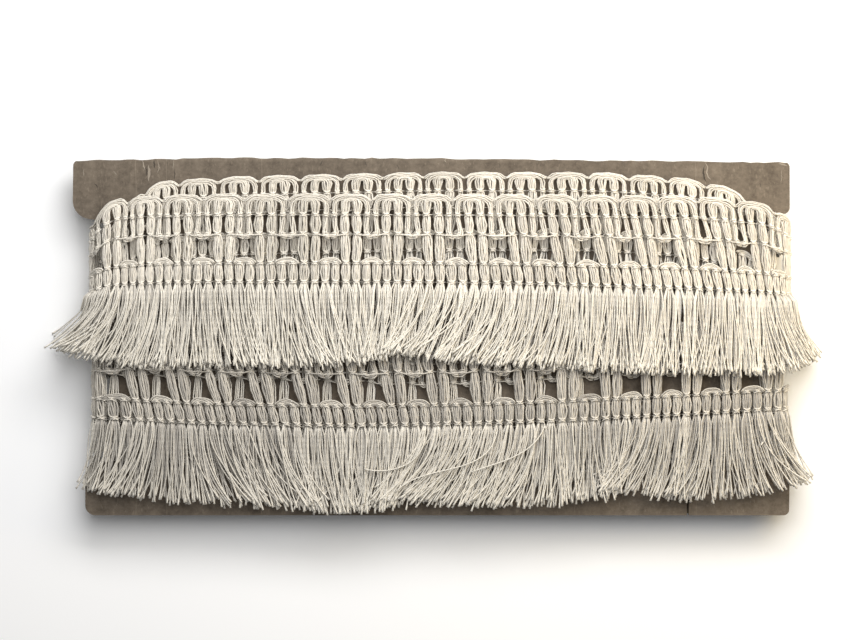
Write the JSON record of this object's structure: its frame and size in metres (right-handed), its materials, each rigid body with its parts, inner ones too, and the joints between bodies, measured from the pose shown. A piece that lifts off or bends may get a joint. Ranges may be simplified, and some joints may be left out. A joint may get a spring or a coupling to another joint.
{
  "type": "chainette fringe trim on a winding card",
  "caption": "Cream openwork trim with a scalloped heading and a cut yarn fringe, wound flat round a notched board card.",
  "frame": {"origin": "middle of the footprint, on the floor that the back turns of the trim rest on", "axes": "+X along the card, +Y up the card's face from the fringe ends to the scalloped edges, +Z out of the front face"},
  "size_m": [0.2264, 0.1076, 0.0171],
  "materials": {
    "card": "matt kraft board",
    "heading": "soft lustrous gimp cord and fine binding thread",
    "fringe": "lustrous two-ply yarn, cut ends"
  },
  "bodies": {
    "root": {"winding_card": "card", "heading": "heading", "fringe": "fringe"}
  },
  "joints": []
}
